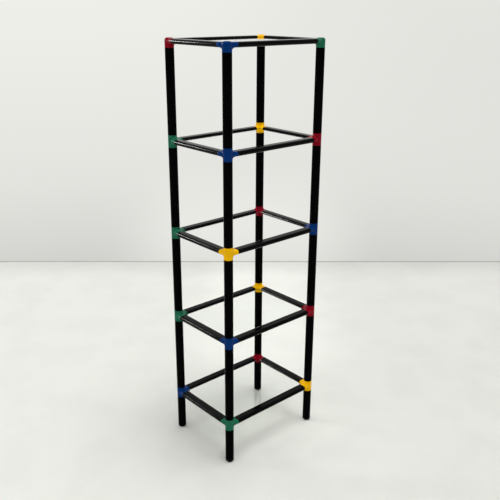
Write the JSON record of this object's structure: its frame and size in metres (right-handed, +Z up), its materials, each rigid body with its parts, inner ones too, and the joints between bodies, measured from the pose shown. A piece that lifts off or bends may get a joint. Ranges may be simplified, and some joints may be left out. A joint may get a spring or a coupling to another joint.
{
  "type": "bookshelf",
  "caption": "Tall open bookshelf of black round posts and flat oval rails joined by coloured corner connectors, with a clear glass pane lying in each frame.",
  "frame": {"origin": "middle of the footprint, level with the undersides of the feet", "axes": "+Z up, +X along the width from the front left post to the front right post, +Y from the front to the rear"},
  "size_m": [0.428, 0.319, 1.4415],
  "materials": {
    "black_tube": "satin black lacquer on tube",
    "black_cap": "moulded black end cap",
    "blue_connector": "glossy moulded plastic",
    "red_connector": "glossy moulded plastic",
    "green_connector": "glossy moulded plastic",
    "yellow_connector": "glossy moulded plastic",
    "clear_glass": "clear float glass with a faint green edge"
  },
  "bodies": {
    "root": {"connector_1_front_left": "green_connector", "connector_1_front_right": "yellow_connector", "connector_1_rear_left": "blue_connector", "connector_1_rear_right": "red_connector", "rail_1_front": "black_tube", "rail_1_right": "black_tube", "rail_1_rear": "black_tube", "rail_1_left": "black_tube", "glass_1": "clear_glass", "connector_2_front_left": "blue_connector", "connector_2_front_right": "red_connector", "connector_2_rear_left": "green_connector", "connector_2_rear_right": "yellow_connector", "rail_2_front": "black_tube", "rail_2_right": "black_tube", "rail_2_rear": "black_tube", "rail_2_left": "black_tube", "glass_2": "clear_glass", "connector_3_front_left": "yellow_connector", "connector_3_front_right": "blue_connector", "connector_3_rear_left": "green_connector", "connector_3_rear_right": "red_connector", "rail_3_front": "black_tube", "rail_3_right": "black_tube", "rail_3_rear": "black_tube", "rail_3_left": "black_tube", "glass_3": "clear_glass", "connector_4_front_left": "blue_connector", "connector_4_front_right": "red_connector", "connector_4_rear_left": "green_connector", "connector_4_rear_right": "yellow_connector", "rail_4_front": "black_tube", "rail_4_right": "black_tube", "rail_4_rear": "black_tube", "rail_4_left": "black_tube", "glass_4": "clear_glass", "connector_5_front_left": "blue_connector", "connector_5_front_right": "green_connector", "connector_5_rear_left": "red_connector", "connector_5_rear_right": "yellow_connector", "rail_5_front": "black_tube", "rail_5_right": "black_tube", "rail_5_rear": "black_tube", "rail_5_left": "black_tube", "glass_5": "clear_glass", "post_front_left": "black_tube", "leg_front_left": "black_tube", "foot_front_left": "black_cap", "post_front_right": "black_tube", "leg_front_right": "black_tube", "foot_front_right": "black_cap", "post_rear_left": "black_tube", "leg_rear_left": "black_tube", "foot_rear_left": "black_cap", "post_rear_right": "black_tube", "leg_rear_right": "black_tube", "foot_rear_right": "black_cap"}
  },
  "joints": []
}
